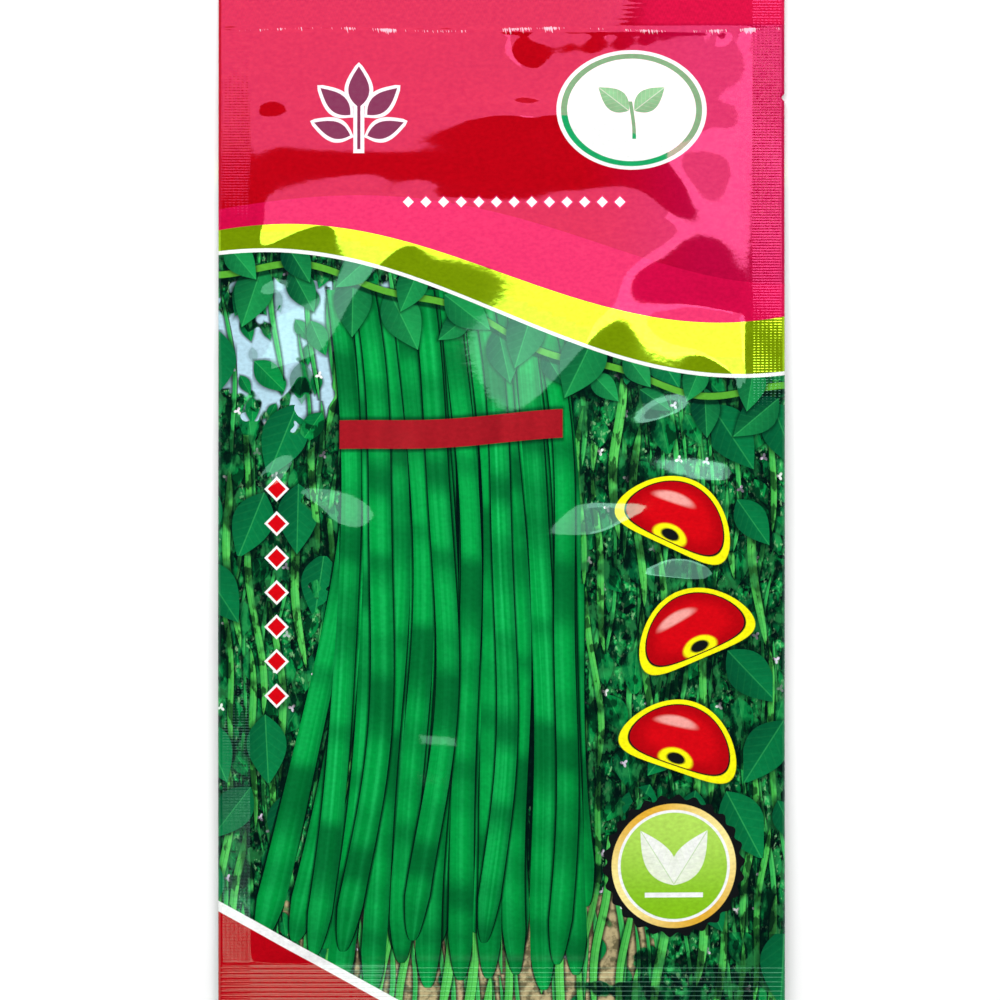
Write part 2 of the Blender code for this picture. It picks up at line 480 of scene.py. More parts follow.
def feed(tree, socket, value):
    if isinstance(value, Term):
        tree.links.new(value.socket, socket)
    elif isinstance(value, tuple) and socket.type == "RGBA":
        socket.default_value = (*value, 1.0)
    else:
        socket.default_value = value


def calculate(operation, *values):
    tree = next(value.tree for value in values if isinstance(value, Term))
    node = new_node(tree, "ShaderNodeMath", operation=operation)
    for socket, value in zip(node.inputs, values):
        feed(tree, socket, value)
    return Term(tree, node.outputs[0])


def sine(value):
    return calculate("SINE", value)


def cosine(value):
    return calculate("COSINE", value)


def size_of(value):
    return calculate("ABSOLUTE", value)


def least(a, b):
    return calculate("MINIMUM", a, b)


def most(a, b):
    return calculate("MAXIMUM", a, b)


def power(value, exponent):
    return calculate("POWER", value, exponent)


def repeat(value, length):
    """Distance from the nearest whole multiple of length, with its sign."""
    return calculate("WRAP", value, length * 0.5, length * -0.5)


def reach(x, y):
    return power(x * x + y * y, 0.5)


def above(value, level, soft=0.1):
    """1 where value is over level, 0 where it is under, with a soft step between."""
    low, high = level - soft, level + soft
    node = new_node(value.tree, "ShaderNodeMapRange", interpolation_type="SMOOTHSTEP", clamp=False)
    feed(value.tree, node.inputs["Value"], value)
    feed(value.tree, node.inputs["From Min"], low)
    feed(value.tree, node.inputs["From Max"], high)
    return Term(value.tree, node.outputs["Result"])


def below(value, level, soft=0.1):
    return 1 - above(value, level, soft)


def within(value, half, soft=0.1):
    """1 where value is less than half away from 0, and 0 beyond, with a soft step between."""
    return below(size_of(value), half, soft)


def paint(under, over, where):
    """The colour under, covered by the colour over where the mask says."""
    tree = where.tree
    node = new_node(tree, "ShaderNodeMix", data_type="RGBA")
    feed(tree, node.inputs[0], where)
    feed(tree, node.inputs[6], under)
    feed(tree, node.inputs[7], over)
    return Term(tree, node.outputs[2])


def join(tree, x, y, z=0.0):
    node = new_node(tree, "ShaderNodeCombineXYZ")
    for socket, value in zip(node.inputs, (x, y, z)):
        feed(tree, socket, value)
    return Term(tree, node.outputs[0])


def split(vector):
    node = new_node(vector.tree, "ShaderNodeSeparateXYZ")
    feed(vector.tree, node.inputs[0], vector)
    return [Term(vector.tree, output) for output in node.outputs]


def noise(place, scale, detail=2.0, stretch=None):
    """Cloudy noise on a place in metres, with `scale` in features to the millimetre."""
    tree = place.tree
    if stretch is not None:
        mapping = new_node(tree, "ShaderNodeMapping")
        feed(tree, mapping.inputs["Vector"], place)
        mapping.inputs["Scale"].default_value = stretch
        place = Term(tree, mapping.outputs["Vector"])
    node = new_node(tree, "ShaderNodeTexNoise")
    feed(tree, node.inputs["Vector"], place)
    feed(tree, node.inputs["Scale"], scale / MM)
    feed(tree, node.inputs["Detail"], detail)
    return Term(tree, node.outputs["Fac"])


def grain(along, detail=2.0):
    """Noise that depends on one number."""
    node = new_node(along.tree, "ShaderNodeTexNoise", noise_dimensions="1D")
    feed(along.tree, node.inputs["W"], along)
    feed(along.tree, node.inputs["Scale"], 1.0)
    feed(along.tree, node.inputs["Detail"], detail)
    return Term(along.tree, node.outputs["Fac"])


def chances(number):
    """Three chances from 0 to 1 that are the same wherever the number is."""
    tree = number.tree
    node = new_node(tree, "ShaderNodeTexWhiteNoise", noise_dimensions="1D")
    feed(tree, node.inputs["W"], number)
    parts = new_node(tree, "ShaderNodeSeparateColor")
    feed(tree, parts.inputs["Color"], Term(tree, node.outputs["Color"]))
    return [Term(tree, output) for output in parts.outputs]


def scattered(x, y, cell, tall, shift, looseness):
    """The middle of the cell round (x, y), moved by chance, and three chances for that cell."""
    row = calculate("FLOOR", y / tall + shift * 1.7)
    column = calculate("FLOOR", x / cell + shift + row * 0.41)
    first, second, third = chances(column * 7.31 + row * 3.17 + shift)
    middle_x = (column + 0.5 - shift - row * 0.41 + (first - 0.5) * looseness) * cell
    middle_y = (row + 0.5 - shift * 1.7 + (second - 0.5) * looseness) * tall
    return middle_x, middle_y, chances(column * 1.93 + row * 5.71 + shift + third)


def turned(x, y, middle_x, middle_y, turn):
    """The place (x, y) seen from a middle, along and across a direction at turn radians."""
    dx, dy = x - middle_x, y - middle_y
    if isinstance(turn, Term):
        c, s = cosine(turn), sine(turn)
    else:
        c, s = math.cos(turn), math.sin(turn)
    return dx * c + dy * s, dy * c - dx * s


KINDS = {"value": "NodeSocketFloat", "colour": "NodeSocketColor", "vector": "NodeSocketVector"}


def make_effect(name, inputs, outputs, recipe):
    """A shader node group. `inputs` are (name, kind, start value), `outputs` are (name, kind), and
    `recipe` turns the inputs, in that order, into the outputs, or into the only one."""
    group = bpy.data.node_groups.new(name, "ShaderNodeTree")
    for label, kind, value in inputs:
        socket = group.interface.new_socket(label, in_out="INPUT", socket_type=KINDS[kind])
        socket.default_value = (*value, 1.0) if kind == "colour" else value
    for label, kind in outputs:
        group.interface.new_socket(label, in_out="OUTPUT", socket_type=KINDS[kind])
    entry = new_node(group, "NodeGroupInput")
    results = recipe(*[Term(group, entry.outputs[label]) for label, _, _ in inputs])
    results = [results] if isinstance(results, Term) else results
    leave = new_node(group, "NodeGroupOutput")
    for (label, _), result in zip(outputs, results):
        group.links.new(result.socket, leave.inputs[label])
    return group


def use(tree, group, **values):
    """Places a group in a tree. A value's name is its input's, with _ for each space."""
    node = new_node(tree, "ShaderNodeGroup", node_tree=group)
    for name, value in values.items():
        feed(tree, node.inputs[name.replace("_", " ")], value)
    results = [Term(tree, output) for output in node.outputs]
    return results[0] if len(results) == 1 else results


# Shapes made by Geometry Nodes


def falling(value):
    """1 where value is 0, falling towards 0 as it grows."""
    return power(2.718, value * -1.0)


def shape_tree(name, lengths, counts):
    """A Geometry Nodes tree that takes geometry, lengths, counts and a material. With it come its
    Group Input node and its lengths as terms."""
    tree = bpy.data.node_groups.new(name, "GeometryNodeTree")
    tree.is_modifier = True
    inputs = [("Geometry", "NodeSocketGeometry", None)]
    inputs += [(label, "NodeSocketFloat", value) for label, value in lengths.items()]
    inputs += [(label, "NodeSocketInt", value) for label, value in counts.items()]
    for label, kind, value in [*inputs, ("Material", "NodeSocketMaterial", None)]:
        socket = tree.interface.new_socket(label, in_out="INPUT", socket_type=kind)
        if value is not None:
            socket.default_value = value
    tree.interface.new_socket("Geometry", in_out="OUTPUT", socket_type="NodeSocketGeometry")
    entry = new_node(tree, "NodeGroupInput")
    return tree, entry, [Term(tree, entry.outputs[label]) for label in lengths]


def stored(tree, name):
    """A number that each point carries."""
    node = new_node(tree, "GeometryNodeInputNamedAttribute", data_type="FLOAT")
    node.inputs["Name"].default_value = name
    return Term(tree, node.outputs[0])


def finish_shape(tree, geometry, material):
    """Ends a tree: its instances made real, and its material set."""
    real = new_node(tree, "GeometryNodeRealizeInstances")
    tree.links.new(geometry, real.inputs[0])
    dressed = new_node(tree, "GeometryNodeSetMaterial")
    tree.links.new(real.outputs[0], dressed.inputs["Geometry"])
    tree.links.new(material, dressed.inputs["Material"])
    leave = new_node(tree, "NodeGroupOutput")
    tree.links.new(dressed.outputs[0], leave.inputs[0])
    return tree


def seal_ribs():
    """Lines pressed across the two end seals of a film sheet: narrow ridges at an even pitch."""
    tree, entry, lengths = shape_tree("seal ribs", RIB_LENGTHS, {})
    pitch, half_width, foot_line, foot_height, head_line, head_height = lengths
    place = Term(tree, new_node(tree, "GeometryNodeInputPosition").outputs[0])
    _, y, _ = split(place)
    off = calculate("PINGPONG", y - foot_line, pitch * 0.5) / half_width
    ridge = falling(off * off)
    fade = half_width * 2.5
    foot = least(most((foot_line - y) / fade, 0.0), 1.0) * foot_height
    head = least(most((y - head_line) / fade, 0.0), 1.0) * head_height
    moved = new_node(tree, "GeometryNodeSetPosition")
    tree.links.new(entry.outputs["Geometry"], moved.inputs["Geometry"])
    feed(tree, moved.inputs["Offset"], join(tree, 0.0, 0.0, (foot + head) * ridge))
    return finish_shape(tree, moved.outputs[0], entry.outputs["Material"])


def seed_heap():
    """Kidney-shaped seeds, one on each point, turned and sized by the point's `turn` and `size`.
    The points of a seed's scar carry `scar`, from 0 to 1."""
    tree, entry, lengths = shape_tree("seed heap", SEED_LENGTHS, SEED_COUNTS)
    length, width, thickness, bend, level, scar_depth = lengths
    ball = new_node(tree, "GeometryNodeMeshUVSphere")
    for label in SEED_COUNTS:
        tree.links.new(entry.outputs[label], ball.inputs[label])
    x, y, z = split(Term(tree, new_node(tree, "GeometryNodeInputPosition").outputs[0]))
    scar = falling(x * x * 14.0 + z * z * 9.0) * least(most(y * 4.0, 0.0), 1.0)
    marked = new_node(tree, "GeometryNodeStoreNamedAttribute", data_type="FLOAT", domain="POINT")
    tree.links.new(ball.outputs["Mesh"], marked.inputs["Geometry"])
    marked.inputs["Name"].default_value = "scar"
    feed(tree, marked.inputs["Value"], scar)
    bent = y * width * 0.5 + bend * (x * x - level) - scar * scar_depth
    shaped = new_node(tree, "GeometryNodeSetPosition")
    tree.links.new(marked.outputs[0], shaped.inputs["Geometry"])
    feed(tree, shaped.inputs["Position"], join(tree, x * length * 0.5, bent, z * thickness * 0.5))
    turn, size = stored(tree, "turn"), stored(tree, "size")
    facing = new_node(tree, "FunctionNodeEulerToRotation")
    feed(tree, facing.inputs[0], join(tree, 0.0, 0.0, turn))
    sown = new_node(tree, "GeometryNodeInstanceOnPoints")
    tree.links.new(entry.outputs["Geometry"], sown.inputs["Points"])
    tree.links.new(shaped.outputs[0], sown.inputs["Instance"])
    tree.links.new(facing.outputs[0], sown.inputs["Rotation"])
    tree.links.new(size.socket, sown.inputs["Scale"])
    return finish_shape(tree, sown.outputs[0], entry.outputs["Material"])


# What the print is made of


def leaf_recipe(along, across, length, width):
    """A pointed leaf, bent along its middle rib: how far inside its edge a place is, its veins, and
    the light on it."""
    t = most(least(along * 2 / length, 1.0), -1.0)
    half = width * 0.5 * (1 - t * t) * (1 - t * 0.35)
    side = size_of(across)
    beyond = most(size_of(along) - length * 0.5, 0.0)
    rib = below(side, width * 0.012 + 0.03, 0.08)
    twigs = within(repeat(along - side * 0.8, length * 0.13), 0.02, length * 0.02) * 0.35
    light = above(across, 0.0, width * 0.05) * 0.42 + t * 0.2 + 0.42 - side * 0.5 / width
    return half - side - beyond, most(rib, twigs), light


def leaf_at(along, across, length, width):
    """A leaf's depth, veins and light at a place along and across its middle rib."""
    return use(along.tree, LEAF, Along=along, Across=across, Length=length, Width=width)


def leaf_layer_recipe(under, x, y, cell, length, width, lean, spread, shift, dark, pale, amount):
    """Leaves strewn over what is under them, each with a little shadow round it."""
    middle_x, middle_y, (chance, size, tone) = scattered(x, y, cell, cell * 1.5, shift, 0.22)
    along, across = turned(x, y, middle_x, middle_y, lean + (chance - 0.5) * spread)
    grown = size * 0.45 + 0.6
    depth, vein, light = leaf_at(along, across, length * grown, width * grown)
    amount = above(tone + amount, 1.0, 0.02)
    shaded = paint(under, LEAF_SHADE, above(depth, width * -0.06, width * 0.15) * amount * 0.9)
    blade = paint(dark, pale, most(tone * 0.55 + light * 0.75 - 0.25, 0.0))
    blade = paint(blade, LEAF_LIGHT, vein * (0.08 + tone * 0.25))
    return paint(shaded, blade, above(depth, 0.1, 0.1) * amount)


def blossoms_recipe(under, x, y, cell, radius, shift):
    middle_x, middle_y, (chance, tone, _) = scattered(x, y, cell, cell, shift, 0.7)
    dx, dy = x - middle_x, y - middle_y
    edge = radius * (0.7 + 0.4 * sine(calculate("ARCTAN2", dy, dx) * 3 + chance * 6))
    petals = below(reach(dx, dy) - edge, 0.0, 0.12) * above(chance, 0.55, 0.01)
    return paint(under, paint(WHITE, BLOSSOM, above(tone, 0.5, 0.1)), petals)


def thin_pods_recipe(under, x, y, spacing, width, shift, dark, pale, amount):
    """Thin pods that hang singly, light on both sides of a darker seam."""
    swayed = x + 2.2 * sine(y / 21.0 + shift) + 0.7 * sine(y / 6.3 + shift * 3 + x * 0.1)
    column = calculate("FLOOR", swayed / spacing)
    length = 43.0
    row = calculate("FLOOR", y / length + column * 0.37)
    chance, place, tone = chances(column * 7.31 + row * 3.17 + shift)
    across = repeat(swayed - spacing * 0.5, spacing) - (place - 0.5) * spacing * 0.6
    along = size_of(repeat(y + column * 0.37 * length - length * 0.5, length)) * 2 / length
    thick = width * (0.3 + tone * 0.25) * (1 - power(along, 6.0))
    side = size_of(across)
    there = above(chance + amount, 1.0, 0.01)
    shaded = paint(under, LEAF_SHADE, above(thick + 0.5 - side, 0.0, 0.4) * there * 0.85)
    light = above(across, width * -0.15, width * 0.3) * 0.6 + tone * 0.5
    skin = paint(dark, pale, light * above(side, 0.06, 0.12))
    return paint(shaded, skin, above(thick - side, 0.0, 0.09) * there)


def pod_row_recipe(
    under, x, y,
    top, bottom, top_middle, bottom_middle, top_pitch, bottom_pitch, bow, count, share, shift,
):
    """A row of long pods side by side, which fans out from the top and ends in loose tips."""
    t = (top - y) / (top - bottom)
    pitch = top_pitch + (bottom_pitch - top_pitch) * t * t
    middle = top_middle + (bottom_middle - top_middle) * t + bow * sine(t * 4.4)
    place = (x - middle) / pitch
    index = calculate("FLOOR", place)
    ends, tone, swing = chances(index * 3.7 + shift)
    sway = 0.09 * sine(y / 17.0 + swing * 9)
    up = (y - bottom + ends * -TIP_SPREAD) / 11.0
    thick = power(least(most(up, 0.0), 1.0), 0.42) * (share * 0.5) * (0.84 + swing * 0.16) + 0.001
    across = (place - index - 0.5 + sway) / thick
    side = size_of(across)
    there = within(index + 0.5, count * 0.5, 0.01) * above(up, 0.02, 0.02)
    there = there * above(top - y, 0.0, 0.1)

    band = grain(y * 0.052 + tone * 5 + x * 0.008 + shift, 1.0)
    streak = grain(across * 2.1 + y * 0.010 + tone * 37, 2.0)
    fleck = grain(y * 1.9 + across * 31.0 + tone * 23, 2.0)
    ridge = within(across + 0.5 - swing * 0.8, 0.06, 0.26)
    light = ridge * (0.22 + fleck * 0.75) + above(streak, 0.54, 0.16) * 0.40
    skin = paint(POD_GREEN, POD_LIGHT, light * (0.6 + tone * 0.5))
    foot = within(y - POD_FOOT, 0.0, 15.0)
    skin = paint(skin, POD_DEEP, most(below(band, 0.47, 0.13) * 0.72, foot * 0.9))
    edges = above(across, 0.62, 0.45) * 0.55 + below(across, -0.86, 0.2) * 0.30
    skin = paint(skin, POD_DEEP, edges)
    shaded = paint(under, LEAF_SHADE, below(side, 1.18, 0.14) * there * 0.95)
    return paint(shaded, skin, below(side, 0.985, 0.03) * there)


def kidney_recipe(under, x, y, middle_x, middle_y, turn, length):
    """A large kidney-shaped seed with a yellow outline, its scar and a gloss mark."""
    along, across = turned(x, y, middle_x, middle_y, turn)
    u = along / (length * 0.5)
    v = (across + u * u * length * 0.13 - length * 0.05) / (length * 0.29)
    off = (reach(u, v) - 1) * length * 0.33
    scar = reach(u * 2.9, (v + 0.78) * 3.0)
    gloss = reach((u + 0.22) * 2.1, (v - 0.42) * 4.6)
    inside = below(off, 0.0, 0.10)
    colour = paint(under, LEAF_SHADE, below(off, 2.2, 0.9) * 0.6)
    colour = paint(colour, YELLOW, below(off, 1.55, 0.10))
    colour = paint(colour, BLACK, below(off, 0.32, 0.10))
    colour = paint(colour, SEED_RED, inside)
    colour = paint(colour, SEED_DEEP, above(off, -2.0, 1.6) * inside * 0.7)
    colour = paint(colour, YELLOW, below(scar, 1.0, 0.12) * inside)
    colour = paint(colour, BLACK, below(scar, 0.55, 0.10) * inside)
    return paint(colour, SEED_GLOSS, below(gloss, 0.8, 0.25) * 0.75)


def vine_leaves_recipe(under, x, y, pitch, drop, length, width, shift):
    """A row of large leaves along the vine under the header."""
    column = calculate("FLOOR", x / pitch + shift)
    chance, size, tone = chances(column * 5.13 + shift * 7)
    middle_x = (column + 0.5 - shift) * pitch
    middle_y = header_edge(middle_x) - drop - size * 3.0
    turn = -1.57 + (chance - 0.5) * 2.2
    along, across = turned(x, y, middle_x, middle_y, turn)
    grown = size * 0.55 + 0.6
    depth, vein, light = leaf_at(along, across, length * grown, width * grown)
    shaded = paint(under, LEAF_SHADE, above(depth, -0.3, 0.9) * 0.9)
    blade = paint(LEAF_DEEP, VINE_LEAF, light * 0.8 + tone * 0.5 - 0.3)
    blade = paint(blade, LEAF_LIGHT, vein * 0.3)
    return paint(shaded, blade, above(depth, 0.1, 0.1))


def header_edge(x):
    """Lower edge of the header."""
    return HEADER_EDGE - HEADER_SWAY * sine(x / HEADER_WAVE)


def make_drawing(name, recipe, **inputs):
    """An effect that draws over the colour Under at the place (X, Y). Its other inputs come by
    name, with _ for each space, and with a start value, which is a tuple for a colour."""
    sockets = [("Under", "colour", BLACK), ("X", "value", 0.0), ("Y", "value", 0.0)]
    for label, value in inputs.items():
        kind = "colour" if isinstance(value, tuple) else "value"
        sockets.append((label.replace("_", " "), kind, value))
    return make_effect(name, sockets, [("Colour", "colour")], recipe)


def draw(drawing, under, x, y, **values):
    """Draws over the colour under at the place (x, y)."""
    return use(x.tree, drawing, Under=under, X=x, Y=y, **values)


LEAF = make_effect(
    "leaf",
    [
        ("Along", "value", 0.0),
        ("Across", "value", 0.0),
        ("Length", "value", 10.0),
        ("Width", "value", 5.0),
    ],
    [("Depth", "value"), ("Vein", "value"), ("Light", "value")],
    leaf_recipe,
)
LEAF_LAYER = make_drawing(
    "leaf layer", leaf_layer_recipe, Cell=9.0, Length=9.0, Width=5.0, Lean=-1.5, Spread=1.5,
    Shift=0.0, Dark=LEAF_DEEP, Pale=LEAF_GREEN, Amount=1.0,
)
BLOSSOMS = make_drawing("blossoms", blossoms_recipe, Cell=9.0, Radius=1.0, Shift=0.0)
THIN_PODS = make_drawing(
    "thin pods", thin_pods_recipe, Spacing=5.0, Width=1.3, Shift=0.0, Dark=LEAF_GREEN,
    Pale=LEAF_LIGHT, Amount=0.7,
)
POD_ROW = make_drawing(
    "pod row", pod_row_recipe, Top=50.0, Bottom=-100.0, Top_Middle=-14.0, Bottom_Middle=-10.0,
    Top_Pitch=5.4, Bottom_Pitch=7.2, Bow=3.0, Count=10.0, Share=0.95, Shift=0.0,
)
KIDNEY = make_drawing(
    "kidney seed", kidney_recipe, Middle_X=0.0, Middle_Y=0.0, Turn=0.0, Length=22.0
)
VINE_LEAVES = make_drawing(
    "vine leaves", vine_leaves_recipe, Pitch=12.0, Drop=3.0, Length=18.0, Width=11.0, Shift=0.0
)


def leafy_field(place, x, y):
    """Bean plants in leaf, with thin pods hanging among them, sky above and soil below."""
    rough = noise(place, 0.11, 2.0)
    mottled = noise(place, 0.55, 4.0)
    sky = below(reach((x + 46) / 22, (y - 38) / 15) + (rough - 0.5) * 3.0, 0.95, 0.05)
    soil = below(reach((x + 8) / 44, (y + 112) / 30) + (rough - 0.5) * 2.0, 0.9, 0.05)
    colour = paint(LEAF_SHADE, LEAF_GREEN, above(mottled, 0.51, 0.09))
    colour = paint(colour, LEAF_LIGHT, above(mottled, 0.62, 0.05) * 0.8)
    colour = paint(colour, SKY, sky)
    colour = paint(colour, paint(SOIL, SOIL_SHADE, above(mottled, 0.52, 0.12)), soil)
    leafy = 0.9 - most(sky * 0.5, soil * 0.75)
    colour = draw(
        LEAF_LAYER, colour, x, y, Cell=4.3, Length=6.8, Width=3.6, Shift=1.3, Amount=leafy
    )
    planted = 1 - most(sky, soil)
    sparks = above(noise(place, 1.3, 2.0, (1.0, 0.55, 1.0)), 0.62, 0.04) * planted
    colour = paint(colour, LEAF_SPARK, sparks * 0.5)
    colour = draw(THIN_PODS, colour, x, y, Spacing=3.1, Width=1.2, Shift=4.1, Pale=FAR_POD)
    colour = draw(
        LEAF_LAYER, colour, x, y, Cell=7.6, Length=12.0, Width=6.6, Shift=5.9, Amount=leafy - 0.3
    )
    colour = draw(BLOSSOMS, colour, x, y, Cell=8.5, Radius=0.9, Shift=2.4)
    low = above(10 - y + (rough - 0.5) * 60, 0.0, 30.0) * 0.75
    near = {"Dark": NEAR_POD_DEEP, "Pale": NEAR_POD, "Amount": low}
    colour = draw(THIN_PODS, colour, x, y, Spacing=4.6, Width=2.0, Shift=7.7, **near)
    colour = paint(colour, LEAF_SHADE, above(rough, 0.51, 0.05) * planted * 0.8)
    dappled = noise(place, 0.5, 3.0, (1.0, 0.45, 1.0))
    colour = paint(colour, LEAF_SHADE, below(dappled, 0.445, 0.035) * planted * 0.8)
    colour = paint(colour, LEAF_LIGHT, above(dappled, 0.57, 0.05) * planted * 0.2)
    edges = above(size_of(x + 6) + (rough - 0.5) * 40, 38.0, 2.0) * 0.5
    large = {"Cell": 12.0, "Length": 18.5, "Width": 10.4}
    return draw(LEAF_LAYER, colour, x, y, **large, Shift=2.2, Pale=EDGE_LEAF, Amount=edges)


# The long pods' rows, from the farthest to the nearest
POD_ROWS = (
    {"Top_Middle": -12.5, "Bottom_Middle": -16.0, "Bottom": -112.0, "Bottom_Pitch": 9.0, "Bow": 3.6,
     "Shift": 1.3},
    {"Top_Middle": -15.0, "Bottom_Middle": -11.0, "Bottom": -124.0, "Bow": 3.2, "Share": 0.96},
    {"Top_Middle": -13.0, "Bottom_Middle": -7.0, "Bottom": -118.0, "Top_Pitch": 14.0,
     "Bottom_Pitch": 17.0, "Bow": 5.0, "Count": 4.0, "Share": 0.37, "Shift": 6.1},
)


def pod_curtain(colour, x, y):
    """Long pods that hang side by side from the vine and part towards their tips."""
    for row in POD_ROWS:
        colour = draw(POD_ROW, colour, x, y, **row)
    return colour


def pod_tie(colour, x, y):
    """The flat red tie round the long pods."""
    middle_x, middle_y = TIE_MIDDLE
    off = y - middle_y - 0.05 * x - 0.5 * sine(x / 9.0)
    aside = x - middle_x
    over = within(off, TIE_HALF_WIDTH, 0.08) * within(aside, TIE_HALF_LENGTH, 0.15)
    shade = grain(x * 0.16, 2.0)
    cast = within(off, TIE_HALF_WIDTH + 0.8, 0.6) * within(aside, TIE_HALF_LENGTH + 0.4, 0.5)
    colour = paint(colour, LEAF_SHADE, cast * 0.7)
    return paint(colour, paint(TIE_RED, TIE_LIGHT, shade), over)


def vine(colour, x, y):
    """The vine under the header that the pods hang from."""
    colour = draw(VINE_LEAVES, colour, x, y, Drop=8.5, Length=15.0, Width=8.5, Shift=0.45)
    off = y - header_edge(x) + 4.5 + 1.2 * sine(x / 6.0)
    colour = paint(colour, LEAF_SHADE, within(off + 0.5, 1.5, 0.3) * 0.8)
    colour = paint(colour, VINE_STEM, within(off, 0.8, 0.1))
    near = {"Pitch": 13.5, "Drop": 2.5, "Length": 17.0, "Width": 10.0}
    return draw(VINE_LEAVES, colour, x, y, **near, Shift=0.1)


def kidney_column(colour, x, y):
    """Three large seeds one above the other, each turned its own way."""
    pitch, top = 26.5, 9.0
    row = calculate("FLOOR", (y - top) / pitch)
    middle_x, middle_y = 43.5 + 2.0 * sine(row * 2.2), (row + 0.5) * pitch + top
    turn = 0.45 * cosine(row * 2.9)
    seeds = draw(
        KIDNEY, colour, x, y, Middle_X=middle_x, Middle_Y=middle_y, Turn=turn, Length=24.5
    )
    return paint(colour, seeds, within(row + 2.0, 1.5, 0.01))


def lozenges(colour, x, y, middle_x, middle_y, across, down, pitch, radius, ink, edge_ink):
    """A straight row of small lozenges with an edge, `across` by `down` of them."""
    dx, dy = x - middle_x, y - middle_y
    in_row = within(dx, across * pitch / 2, 0.02)
    in_row = in_row * within(dy, down * pitch / 2, 0.02)
    start = 0.0 if across % 2 else pitch / 2
    rise = 0.0 if down % 2 else pitch / 2
    off = size_of(repeat(dx + start, pitch)) + size_of(repeat(dy + rise, pitch))
    colour = paint(colour, edge_ink, below(off, radius * 1.35, 0.08) * in_row)
    return paint(colour, ink, below(off, radius, 0.08) * in_row)


def mirrored_leaf(x, y, middle_x, middle_y, turn, length, width):
    """A leaf to the right of x = 0 and its mirror image: their depth, veins and light."""
    along, across = turned(size_of(x), y, middle_x, middle_y, math.radians(turn))
    return leaf_at(along, across, length, width)


def sprout_disc(colour, x, y, middle_x, middle_y, radius):
    """A white disc with a green ring and a sprout of two leaves."""
    dx, dy = x - middle_x, y - middle_y
    off = reach(dx, dy * 1.25) - radius
    colour = paint(colour, WHITE, below(off, 0.9, 0.08))
    colour = paint(colour, INK_GREEN, within(off + 0.9, 0.75, 0.08))
    stem = within(dx + 0.6 * sine(dy / 4), 0.45, 0.08) * within(dy + 2.5, 4.5, 0.1)
    colour = paint(colour, INK_GREEN, stem)
    depth, vein, light = mirrored_leaf(dx, dy, 4.3, 2.6, 38, 9.5, 5.4)
    leaf = paint(paint(INK_GREEN, SPROUT_LIGHT, light), WHITE, vein * 0.4)
    return paint(colour, leaf, above(depth, 0.1, 0.1))


def leaf_spray(colour, x, y, middle_x, middle_y):
    """A dark spray of leaves with a white edge."""
    dx, dy = x - middle_x, y - middle_y
    stem = least(0.45 - size_of(dx), 6.5 - size_of(dy + 2.0))
    depth = most(stem, mirrored_leaf(dx, dy, 0.0, 6.5, 90, 10.0, 5.0)[0])
    depth = most(depth, mirrored_leaf(dx, dy, 5.6, 3.0, 42, 9.8, 4.4)[0])
    depth = most(depth, mirrored_leaf(dx, dy, 6.4, -3.6, 20, 9.4, 4.0)[0])
    colour = paint(colour, WHITE, above(depth, -0.85, 0.08))
    return paint(colour, BLACK, above(depth, 0.05, 0.08))


def rosette(colour, x, y, middle_x, middle_y, radius):
    """A round badge with a toothed dark edge, a gold ring and a lime middle with two leaves."""
    dx, dy = x - middle_x, y - middle_y
    distance = reach(dx, dy)
    angle = calculate("ARCTAN2", dy, dx)
    gold = paint(GOLD, PALE_GOLD, 0.5 + 0.5 * sine(angle * 2 + 0.6))
    colour = paint(colour, BLACK, below(distance - 0.55 * sine(angle * 26), radius, 0.08))
    colour = paint(colour, gold, below(distance, radius * 0.90, 0.08))
    colour = paint(colour, WHITE, below(distance, radius * 0.81, 0.08))
    green = paint(LIME, PALE_LIME, above(dy, 0.0, radius * 0.7))
    colour = paint(colour, green, below(distance, radius * 0.77, 0.08))
    depth, vein, light = mirrored_leaf(
        dx, dy, 0.24 * radius, 0.12 * radius, 58, radius * 0.95, radius * 0.42
    )
    leaf = paint(paint(PALE_LEAF, WHITE, light), LIME, vein * 0.5)
    colour = paint(colour, leaf, above(depth, 0.1, 0.1))
    foot = within(dy + radius * 0.42, radius * 0.035, 0.06)
    return paint(colour, WHITE, foot * within(dx, radius * 0.42, 0.08))


def header_band(colour, x, y):
    """The header's white line and yellow foil band, and where the foil is."""
    over_edge = y - header_edge(x)
    colour = paint(colour, WHITE, above(over_edge, -0.9, 0.08))
    colour = paint(colour, FOIL_YELLOW, above(over_edge, 0.0, 0.08))
    return colour, above(over_edge, 0.0, 0.08)


def millimetres(position):
    """The x and y of a place in metres, in millimetres."""
    metre_x, metre_y, _ = split(position)
    return metre_x / MM, metre_y / MM


def seal_edge_dashes(colour, x, y, line):
    """Small pale dashes along the edge of the top seal."""
    # pale dashes painted into the ink just under the top seal's edge
    under_line = line - y + 0.4 * sine(x / 9.0)
    patchy = grain(x * 0.13, 1.0) + grain(x * 2.6 + y * 0.6, 2.0) * 0.6
    reach_down = most((patchy - 0.84) * 3.0, 0.02)
    marks = within(under_line - reach_down * 0.6, reach_down, 0.12)
    return paint(colour, SEAL_DASH, marks * above(patchy, 0.89, 0.03) * 0.7)


